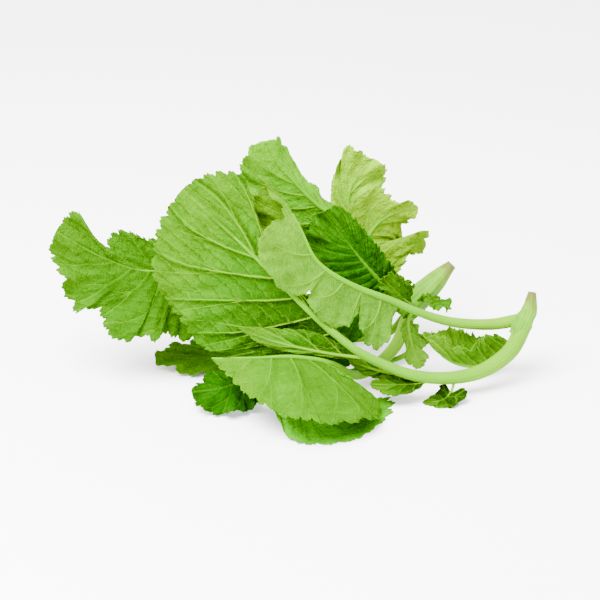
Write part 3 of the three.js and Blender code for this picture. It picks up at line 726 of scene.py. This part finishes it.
def make_object(name, points, faces, materials, finish=None, data=None):
    """A smooth mesh object at the origin, with no loose points."""
    used = sorted({i for face in faces for i in face})
    lookup = np.zeros(len(points), int)
    lookup[used] = np.arange(len(used))
    mesh = bpy.data.meshes.new(name)
    mesh.from_pydata(in_frame(points)[used].tolist(), [], [[int(lookup[i]) for i in face] for face in faces])
    for key, value in (data or {}).items():
        kind, slot = ("FLOAT_VECTOR", "vector") if value.ndim > 1 else ("FLOAT", "value")
        layer = mesh.attributes.new(key, kind, "POINT")
        layer.data.foreach_set(slot, value[used].astype(np.float32).ravel())
    for material in materials:
        mesh.materials.append(material)
    if finish:
        mesh.polygons.foreach_set("material_index", finish)
    mesh.polygons.foreach_set("use_smooth", [True] * len(mesh.polygons))
    mesh.update()
    piece = bpy.data.objects.new(name, mesh)
    bpy.context.scene.collection.objects.link(piece)
    return piece


# Geometry nodes for the stalks and veins

def tube_tree():
    """A tube with closed ends along every line of the mesh, as thick as the line's own radius says."""
    name = "Stalks and Veins"
    if name in bpy.data.node_groups:
        return bpy.data.node_groups[name]
    tree = bpy.data.node_groups.new(name, "GeometryNodeTree")
    for label, way, kind in (
        ("Lines", "INPUT", "Geometry"), ("Sides", "INPUT", "Int"), ("Thickness", "INPUT", "Float"),
        ("Finish", "INPUT", "Material"), ("Tubes", "OUTPUT", "Geometry"),
    ):
        tree.interface.new_socket(label, in_out=way, socket_type="NodeSocket" + kind)
    kinds = {
        "start": "NodeGroupInput",
        "end": "NodeGroupOutput",
        "curve": "GeometryNodeMeshToCurve",
        "girth": "GeometryNodeInputNamedAttribute",
        "scale": "ShaderNodeMath",
        "run": "GeometryNodeSplineParameter",
        "keep_run": "GeometryNodeStoreNamedAttribute",
        "circle": "GeometryNodeCurvePrimitiveCircle",
        "turn": "GeometryNodeSplineParameter",
        "keep_turn": "GeometryNodeStoreNamedAttribute",
        "tube": "GeometryNodeCurveToMesh",
        "real": "GeometryNodeRealizeInstances",
        "smooth": "GeometryNodeSetShadeSmooth",
        "finish": "GeometryNodeSetMaterial",
    }
    nodes = {key: tree.nodes.new(kind) for key, kind in kinds.items()}
    nodes["girth"].data_type = "FLOAT"
    nodes["scale"].operation = "MULTIPLY"
    for key, socket, value in (
        ("girth", "Name", "girth"), ("keep_run", "Name", "run"), ("keep_turn", "Name", "turn"),
        ("circle", "Radius", 1.0), ("tube", "Fill Caps", True),
    ):
        nodes[key].inputs[socket].default_value = value
    for source, output, target, socket in (
        ("start", "Lines", "curve", "Mesh"),
        ("girth", "Attribute", "scale", 0),
        ("start", "Thickness", "scale", 1),
        ("curve", "Curve", "keep_run", "Geometry"),
        ("run", "Length", "keep_run", "Value"),
        ("start", "Sides", "circle", "Resolution"),
        ("circle", "Curve", "keep_turn", "Geometry"),
        ("turn", "Factor", "keep_turn", "Value"),
        ("keep_run", "Geometry", "tube", "Curve"),
        ("scale", 0, "tube", "Scale"),
        ("keep_turn", "Geometry", "tube", "Profile Curve"),
        ("tube", "Mesh", "real", "Geometry"),
        ("real", "Geometry", "smooth", "Geometry"),
        ("smooth", "Geometry", "finish", "Geometry"),
        ("start", "Finish", "finish", "Material"),
        ("finish", "Geometry", "end", "Tubes"),
    ):
        tree.links.new(nodes[source].outputs[output], nodes[target].inputs[socket])
    return tree


def tubes(name, lines, sides, thickness, material):
    """Tubes along lines of points in mm, made by the node tree and turned into a plain mesh."""
    points, edges, radii = [], [], []
    for line, radius in lines:
        first = len(radii)
        points.append(in_frame(line))
        radii += list(radius)
        edges += [(first + i, first + i + 1) for i in range(len(radius) - 1)]
    source = bpy.data.meshes.new(name + "_lines")
    source.from_pydata(np.concatenate(points).tolist(), edges, [])
    layer = source.attributes.new("girth", "FLOAT", "POINT")
    layer.data.foreach_set("value", np.array(radii, np.float32))
    holder = bpy.data.objects.new(name + "_lines", source)
    bpy.context.scene.collection.objects.link(holder)
    tree = tube_tree()
    modifier = holder.modifiers.new("Tubes", "NODES")
    modifier.node_group = tree
    inputs = {item.name: item.identifier for item in tree.interface.items_tree if item.in_out == "INPUT"}
    modifier[inputs["Sides"]] = sides
    modifier[inputs["Thickness"]] = thickness
    modifier[inputs["Finish"]] = material
    graph = bpy.context.evaluated_depsgraph_get()
    mesh = bpy.data.meshes.new_from_object(holder.evaluated_get(graph), depsgraph=graph)
    bpy.data.objects.remove(holder)
    mesh.name = name
    piece = bpy.data.objects.new(name, mesh)
    bpy.context.scene.collection.objects.link(piece)
    return piece


# Materials

class Shader:
    """Short calls for building a material's nodes."""

    def __init__(self, name):
        self.material = bpy.data.materials.new(name)
        self.material.use_nodes = True
        self.tree = self.material.node_tree
        self.skin = self.tree.nodes["Principled BSDF"]

    def node(self, kind, **settings):
        made = self.tree.nodes.new(kind)
        for key, value in settings.items():
            setattr(made, key, value)
        return made

    def feed(self, socket, value):
        if isinstance(value, bpy.types.NodeSocket):
            self.tree.links.new(value, socket)
        else:
            socket.default_value = value

    def coat(self, values):
        """Sets the skin's own sockets."""
        for name, value in values.items():
            self.feed(self.skin.inputs[name], value)

    def math(self, operation, *values):
        made = self.node("ShaderNodeMath", operation=operation)
        for socket, value in zip(made.inputs, values):
            self.feed(socket, value)
        return made.outputs[0]

    def product(self, first, *others):
        for other in others:
            first = self.math("MULTIPLY", first, other)
        return first

    def highest(self, first, *others):
        for other in others:
            first = self.math("MAXIMUM", first, other)
        return first

    def mix(self, share, first, second):
        made = self.node("ShaderNodeMix", data_type="RGBA")
        self.feed(made.inputs[0], share)
        self.feed(made.inputs[6], first)
        self.feed(made.inputs[7], second)
        return made.outputs[2]

    def tint(self, share, tone, factors):
        """The tone, multiplied by the factors as far as the share says."""
        return self.mix(share, tone, self.times(tone, factors))

    def times(self, tone, factors):
        made = self.node("ShaderNodeVectorMath", operation="MULTIPLY")
        self.feed(made.inputs[0], tone)
        self.feed(made.inputs[1], factors)
        return made.outputs[0]

    def split(self, vector):
        made = self.node("ShaderNodeSeparateXYZ")
        self.feed(made.inputs[0], vector)
        return made.outputs

    def ramp(self, value, low, high, first=0.0, last=1.0, kind="SMOOTHSTEP"):
        made = self.node("ShaderNodeMapRange", interpolation_type=kind)
        for socket, number in zip(made.inputs, (value, low, high, first, last)):
            self.feed(socket, number)
        return made.outputs[0]

    def attribute(self, name):
        return self.node("ShaderNodeAttribute", attribute_name=name)

    def noise(self, place, scale, detail=3.0, rough=0.5):
        made = self.node("ShaderNodeTexNoise")
        self.feed(made.inputs["Vector"], place)
        self.feed(made.inputs["Scale"], scale)
        self.feed(made.inputs["Detail"], detail)
        self.feed(made.inputs["Roughness"], rough)
        return made.outputs["Fac"]

    def cells(self, place, scale):
        made = self.node("ShaderNodeTexVoronoi", feature="DISTANCE_TO_EDGE", voronoi_dimensions="2D")
        self.feed(made.inputs["Vector"], place)
        self.feed(made.inputs["Scale"], scale)
        return made.outputs["Distance"]

    def bump(self, height, strength, distance):
        made = self.node("ShaderNodeBump")
        self.feed(made.inputs["Height"], height)
        self.feed(made.inputs["Strength"], strength)
        self.feed(made.inputs["Distance"], distance)
        self.feed(self.skin.inputs["Normal"], made.outputs["Normal"])


def shade(rgb, value=1.0, warm=0.0):
    """A colour made lighter or darker, and yellower or bluer."""
    red, green, blue = (channel * value for channel in rgb[:3])
    return min(1.0, red * (1 + warm)), min(1.0, green), min(1.0, blue * (1 - warm)), 1.0


def vein_mask(s, width):
    """Masks on the flat leaf: the side veins, their forks, the net, the midrib and the painted shade in the
    dips by the veins.
    """
    place, gap, w = s.split(s.attribute("vein").outputs["Vector"])
    sheet = s.attribute("sheet").outputs["Vector"]
    past = s.math("SUBTRACT", s.math("FRACT", s.math("ADD", place, 0.5)), 0.5)
    off = s.math("ABSOLUTE", past)
    thin = s.math("MULTIPLY_ADD", w, -VEIN_TAPER * width, width)
    side = s.ramp(s.math("DIVIDE", s.product(off, gap), thin), 0.25, 1.0, 1.0, 0.0)
    spread = s.math("POWER", s.ramp(w, FORK_START, 1.0, kind="LINEAR"), FORK_BEND)
    fork = s.product(s.math("ABSOLUTE", s.math("SUBTRACT", off, s.product(spread, FORK_SPREAD))), gap)
    fork = s.product(s.ramp(fork, 0.15, 0.7, 1.0, 0.0), s.ramp(w, FORK_START - 0.02, FORK_START + 0.04))
    sway = s.node("ShaderNodeTexNoise")
    s.feed(sway.inputs["Vector"], sheet)
    s.feed(sway.inputs["Scale"], 0.22)
    bent = s.node("ShaderNodeVectorMath", operation="MULTIPLY_ADD")
    for socket, value in zip(bent.inputs, (sway.outputs["Color"], (5.0, 5.0, 0.0), sheet)):
        s.feed(socket, value)
    bent = bent.outputs[0]
    wide_cells = s.cells(bent, WIDE_NET)
    fine_cells = s.cells(bent, FINE_NET)
    fine = s.ramp(fine_cells, 0.0, 0.12, 1.0, 0.0)
    inner = s.ramp(w, 0.1, 0.2)
    away = s.math("ABSOLUTE", s.split(bent)[1])
    rung = s.math("MULTIPLY_ADD", s.math("FLOOR", place), 0.37, s.product(away, 0.14))
    rung = s.math("SUBTRACT", s.math("FRACT", rung), 0.5)
    # Painted shade on one side of each cross vein, standing in for the shading of the relief.
    cross_vein_shade = s.product(s.ramp(rung, 0.03, 0.12), s.ramp(rung, 0.12, 0.45, 1.0, 0.0), inner)
    rung = s.product(s.ramp(s.math("ABSOLUTE", rung), 0.02, 0.07, 1.0, 0.0), inner)
    wide = s.highest(s.product(s.ramp(wide_cells, 0.0, 0.09, 1.0, 0.0), 0.5), rung)
    rib = s.ramp(s.math("ABSOLUTE", s.split(sheet)[1]), 0.5 * width, 1.8 * width, 1.0, 0.0)
    # Painted shade beside the side veins: strong on one side of each vein, faint on the other, standing in
    # for the shading of the puckers.
    above = s.product(past, gap)
    below = s.product(above, -1.0)
    vein_shade = s.product(s.ramp(below, 0.7, 1.5), s.ramp(below, 1.5, 6.0, 1.0, 0.0))
    faint = s.product(s.ramp(above, 0.7, 1.4), s.ramp(above, 1.4, 3.5, 1.0, 0.3), 0.35)
    vein_shade = s.highest(vein_shade, faint, s.product(cross_vein_shade, 0.6))
    puff = s.math("ADD", s.product(s.ramp(wide_cells, 0.02, 0.35), 0.8),
                  s.product(s.ramp(fine_cells, 0.02, 0.40), 0.5))
    return sheet, side, fork, wide, fine, rib, vein_shade, puff


def leaf_material(name, base, vein, upper, look):
    """Leaf skin without shine: paler veins, a fine net, mottled colour, and painted shade at the base and
    beside the veins.
    """
    s = Shader(name)
    sheet, side, fork, wide, fine, rib, vein_shade, puff = vein_mask(s, 0.5 if upper else 1.0)
    grown = s.attribute("grown").outputs["Fac"]
    mottle = s.noise(sheet, 0.06, 4.0, 0.6)
    speck = s.noise(sheet, 0.9, 2.0, 0.5)
    tone = s.mix(s.ramp(mottle, 0.3, 0.7), shade(base, 0.80, -0.05), shade(base, 1.18, 0.08))
    tone = s.mix(s.product(s.ramp(speck, 0.35, 0.75), 0.35), tone, shade(base, 0.86))
    tone = s.tint(s.product(s.ramp(grown, 0.55, 0.95), look["yellow"]), tone, TIP_TINT)
    # Painted shade: the blade grows darker towards its base, standing in for the shade on its lower part.
    tone = s.tint(s.product(s.ramp(grown, 0.2, 0.75, 1.0, 0.0), look["dark"]), tone, BASE_SHADE_TINT)
    # Painted shade: darker in the dips beside the veins, where the relief would lie in shade.
    tone = s.tint(s.product(vein_shade, look["dip_shade"]), tone, DIP_SHADE_TINT)
    net = s.highest(s.product(wide, 0.3 if upper else 0.75), s.product(fine, 0.3))
    lines = s.highest(side, s.product(fork, 0.8), rib, net)
    seen = s.product(lines, look["lines"] * (0.36 if upper else 0.38))
    s.coat({
        "Base Color": s.mix(seen, tone, shade(vein)),
        "Roughness": 0.48 if upper else 0.62,
        "Specular IOR Level": 0.0,
        "Subsurface Weight": 0.15,
        "Subsurface Radius": (0.3, 0.5, 0.1),
        "Subsurface Scale": 0.002,
    })
    raised = s.math("SUBTRACT", lines, s.product(puff, 0.9))
    s.bump(s.math("MULTIPLY_ADD", raised, -1.0 if upper else 1.0, s.product(speck, 0.3)), 0.8, 0.0006)
    return s.material


def stalk_material(name, base, pale):
    """Fleshy stalk: fine lengthwise ribs, paler towards the crown."""
    s = Shader(name)
    place = s.node("ShaderNodeTexCoord").outputs["Object"]
    run, turn = (s.attribute(key).outputs["Fac"] for key in ("run", "turn"))
    stripe = s.math("SINE", s.product(turn, 2 * math.pi * 14))
    mottle = s.noise(place, 60.0, 3.0, 0.6)
    tone = s.mix(s.ramp(run, 0.01, 0.09), pale, base)
    tone = s.mix(s.product(s.ramp(mottle, 0.35, 0.7), 0.5), tone, shade(base, 0.85, 0.05))
    s.coat({
        "Base Color": s.mix(s.ramp(stripe, -0.2, 1.0, 0.0, 0.22), tone, shade(pale, 1.1)),
        "Roughness": 0.42,
        "Specular IOR Level": 0.02,
        "Specular Tint": shade(base, 3.0),
        "Subsurface Weight": 0.2,
        "Subsurface Radius": (0.6, 1.0, 0.2),
        "Subsurface Scale": 0.003,
    })
    s.bump(s.math("ADD", s.product(stripe, 0.6), mottle), 0.35, 0.0004)
    return s.material


def crown_material(name, base, pale, cut):
    """Cut crown: green and pale, drying to tan at its tip."""
    s = Shader(name)
    place = s.node("ShaderNodeTexCoord").outputs["Object"]
    sheet = s.attribute("sheet").outputs["Vector"]
    from_tip, turn, _ = s.split(sheet)
    mottle = s.noise(place, 160.0, 4.0, 0.6)
    streak = s.noise(s.times(sheet, (0.08, 9.0, 1.0)), 1.0, 3.0, 0.6)
    edge = s.math("ADD", from_tip, s.math("MULTIPLY_ADD", streak, 26.0, -13.0))
    tone = s.mix(s.ramp(edge, 7.0, 20.0), pale, base)
    tone = s.mix(s.ramp(edge, 3.0, 11.0, 1.0, 0.0), tone, cut)
    tone = s.mix(s.product(s.ramp(mottle, 0.4, 0.7), 0.4), tone, shade(cut, 0.9))
    s.coat({"Base Color": tone, "Roughness": 0.6, "Specular IOR Level": 0.05})
    stripe = s.math("SINE", s.product(turn, 2 * math.pi * 16))
    s.bump(s.math("ADD", s.product(stripe, 0.5), mottle), 0.5, 0.0006)
    return s.material


def floor_material(name, base):
    """Smooth pale table top with a faint grain."""
    s = Shader(name)
    speck = s.noise(s.node("ShaderNodeTexCoord").outputs["Object"], 400.0, 2.0, 0.5)
    tone = s.mix(s.product(speck, 0.05), shade(base), shade(base, 0.95))
    s.coat({"Base Color": tone, "Roughness": 0.7})
    return s.material


# Pieces


def leaves():
    """Each leaf of the bunch with its lobes, as Leaf objects."""
    for spec in LEAVES:
        look = PLAIN_LOOK | LOOKS[spec["name"]]
        parts = [Leaf(spec, look)]
        small = look | {"veins": max(3, look["veins"] - 3), "pucker": look["pucker"] * 0.5,
                        "frill": look["frill"] * 0.6}
        parts += [Leaf(lobe, small) for lobe in spec.get("lobes", [])]
        yield spec["name"], look, parts


class GREENS_OT_blades(bpy.types.Operator):
    """Grow every blade with its teeth, ruffle and puckers"""

    bl_idname = "greens.blades"
    bl_label = "Leaf Blades"

    def execute(self, context):
        settings = context.scene.greens_blades
        for name, look, parts in leaves():
            colours = [getattr(settings, look[side]) for side in ("upper", "under")]
            upper = leaf_material(name + "_upper", colours[0], settings.vein, True, look)
            under = leaf_material(name + "_under", colours[1], settings.vein, False, look)
            points, faces, finish, data = join_sheets([blade_sheet(part, settings) for part in parts])
            piece = make_object(name + "_blade", points, faces, [upper, under], finish, data)
            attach(piece, "root")
            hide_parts(name)
        return {"FINISHED"}


class GREENS_OT_stalks(bpy.types.Operator):
    """Grow the stalks and midribs, and the raised veins of each underside"""

    bl_idname = "greens.stalks"
    bl_label = "Stalks and Veins"

    def execute(self, context):
        settings = context.scene.greens_stalks
        blades = context.scene.greens_blades
        thickness = blades.edge_thickness / MM
        pale, light = settings.stalk_pale, blades.light
        stalk = stalk_material("stalk", shade(settings.stalk), shade(pale))
        green = stalk_material("green_stalk", shade(settings.green_stalk), shade(settings.stalk))
        vein = stalk_material("vein", shade(settings.stalk, 0.95), shade(pale, 0.9))
        faint = stalk_material("faint_vein", shade(light, 1.25), shade(light, 1.5))
        for name, look, parts in leaves():
            lines = [part.stalk_line() for part in parts]
            skin = green if look["upper"] in GREEN_STALKED else stalk
            piece = tubes(name + "_stalk", lines, settings.sides, MM, skin)
            veins = [line for part in parts for line in part.vein_lines(thickness)]
            finish, girth = (vein, 1.0) if look["lines"] >= CLEAR_LINES else (faint, FAINT_GIRTH)
            fine = tubes(name + "_veins", veins, settings.vein_sides, settings.vein_radius * girth, finish)
            for each in (piece, fine):
                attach(each, "root")
        return {"FINISHED"}


class GREENS_OT_crowns(bpy.types.Operator):
    """Model the cut crown that each plant's stalks grow from"""

    bl_idname = "greens.crowns"
    bl_label = "Crowns"

    def execute(self, context):
        settings = context.scene.greens_stalks
        tones = (settings.stalk, settings.stalk_pale, settings.cut)
        finish = crown_material("crown", *(shade(tone) for tone in tones))
        for number, spec in enumerate(CROWNS):
            piece = crown_piece(spec, finish, number)
            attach(piece, "root")
            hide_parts(spec["name"])
        return {"FINISHED"}


def crown_piece(spec, finish, seed):
    """A crown as rings of points round its axis, with ridges where stalks leave and a hollowed cut end."""
    walk = Walk(spec["axis"])
    turn = np.arange(CROWN_SIDES) / CROWN_SIDES
    angle = 2 * np.pi * turn[:, None]
    rings = []
    places = []
    for share in np.arange(CROWN_STEPS + 1) / CROWN_STEPS:
        middle, heading = walk.at(walk.length * share)
        right = unit(np.cross((0.0, 1.0, 0.0), heading))
        up = np.cross(heading, right)
        radius = along(spec["radius"], share)
        ridges = 1 + 0.12 * np.sin(2 * np.pi * (5 * turn + 0.4 * share + 0.3 * seed)) * (1 - 0.6 * share)
        ridges += 0.07 * ripple(turn * 40, share * 30 + 0 * turn, 9, seed + 50)
        rings.append(middle + radius * ridges[:, None] * (np.cos(angle) * right + np.sin(angle) * up))
        from_tip = walk.length * (1 - share)
        places.append(np.stack([np.full(CROWN_SIDES, from_tip), turn, turn * 0], -1))
    heading = walk.at(walk.length)[1]
    rim = rings[-1].mean(axis=0)
    rings.append(rim + (rings[-1] - rim) * 0.7 - heading * 0.5)
    places.append(places[-1])
    points = np.concatenate([*rings, [rim - heading * 0.9], [rings[0].mean(axis=0)]])
    data = {"sheet": np.concatenate([*places, [(0.0, 0.0, 0.0)], [(walk.length, 0.0, 0.0)]])}
    faces = []
    last = (len(rings) - 1) * CROWN_SIDES
    hub = last + CROWN_SIDES
    for j in range(CROWN_SIDES):
        beside = (j + 1) % CROWN_SIDES
        for k in range(0, last, CROWN_SIDES):
            faces.append([k + j, k + beside, k + beside + CROWN_SIDES, k + j + CROWN_SIDES])
        faces.append([last + j, last + beside, hub])
        faces.append([beside, j, hub + 1])
    return make_object(spec["name"] + "_cut", points, faces, [finish], None, data)


class GREENS_OT_stage(bpy.types.Operator):
    """Set up the pale floor, the soft light and the camera"""

    bl_idname = "greens.stage"
    bl_label = "Stage"

    def execute(self, context):
        settings = context.scene.greens_stage
        mesh = bpy.data.meshes.new("floor")
        corners = [(x * FLOOR_HALF, y * FLOOR_HALF, 0) for x, y in ((-1, -1), (1, -1), (1, 1), (-1, 1))]
        mesh.from_pydata(corners, [], [(0, 1, 2, 3)])
        mesh.materials.append(floor_material("floor", settings.floor))
        floor = bpy.data.objects.new("floor", mesh)
        context.scene.collection.objects.link(floor)
        floor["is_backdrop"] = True
        world = bpy.data.worlds.new("studio")
        world.use_nodes = True
        sky = world.node_tree.nodes["Background"]
        sky.inputs["Color"].default_value = (1.0, 1.0, 1.0, 1.0)
        sky.inputs["Strength"].default_value = settings.sky
        context.scene.world = world
        self.lamp(context, settings.key)
        self.camera(context)
        return {"FINISHED"}

    def lamp(self, context, power):
        data = bpy.data.lights.new("key", "AREA")
        data.shape = "DISK"
        data.size = LAMP_SIZE
        data.energy = power
        lamp = bpy.data.objects.new("key", data)
        lamp.location = LAMP_PLACE
        lamp.rotation_euler = (-Vector(LAMP_PLACE)).to_track_quat("-Z", "Y").to_euler()
        context.scene.collection.objects.link(lamp)

    def camera(self, context):
        """The photograph looks down on the bunch from its front."""
        elevation = math.radians(VIEW_ELEVATION)
        data = bpy.data.cameras.new("camera")
        data.sensor_width = SENSOR
        data.lens = LENS
        camera = bpy.data.objects.new("camera", data)
        away = Vector((0, -math.cos(elevation), math.sin(elevation)))
        camera.location = Vector(in_frame(VIEW_TARGET)) + away * VIEW_DISTANCE
        camera.rotation_euler = (-away).to_track_quat("-Z", "Y").to_euler()
        context.scene.collection.objects.link(camera)
        context.scene.camera = camera


class GREENS_PT_panel(bpy.types.Panel):
    """Sizes and colours of the bunch, and its steps in order"""

    bl_idname = "GREENS_PT_panel"
    bl_label = "Mustard Greens"
    bl_space_type = "VIEW_3D"
    bl_region_type = "UI"
    bl_category = "Greens"

    def draw(self, context):
        for group, steps in (
            ("greens_blades", ["greens.blades"]),
            ("greens_stalks", ["greens.stalks", "greens.crowns"]),
            ("greens_stage", ["greens.stage"]),
        ):
            box = self.layout.box()
            settings = getattr(context.scene, group)
            for key in settings.__annotations__:
                box.prop(settings, key)
            for step in steps:
                box.operator(step)


CLASSES = (
    GreensBlades, GreensStalks, GreensStage,
    GREENS_OT_blades, GREENS_OT_stalks, GREENS_OT_crowns, GREENS_OT_stage, GREENS_PT_panel,
)


def register():
    for each in CLASSES:
        bpy.utils.register_class(each)
    bpy.types.Scene.greens_blades = bpy.props.PointerProperty(type=GreensBlades)
    bpy.types.Scene.greens_stalks = bpy.props.PointerProperty(type=GreensStalks)
    bpy.types.Scene.greens_stage = bpy.props.PointerProperty(type=GreensStage)


def unregister():
    del bpy.types.Scene.greens_blades
    del bpy.types.Scene.greens_stalks
    del bpy.types.Scene.greens_stage
    for each in reversed(CLASSES):
        bpy.utils.unregister_class(each)


def main():
    register()
    bpy.ops.greens.stage()
    bpy.ops.greens.blades()
    bpy.ops.greens.stalks()
    bpy.ops.greens.crowns()
    boxes = {"cad": CAD_BOX, "visual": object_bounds()}
    sizes = {key: [[float(v) for v in corner] for corner in box] for key, box in boxes.items()}


if __name__ == "__main__":
    main()
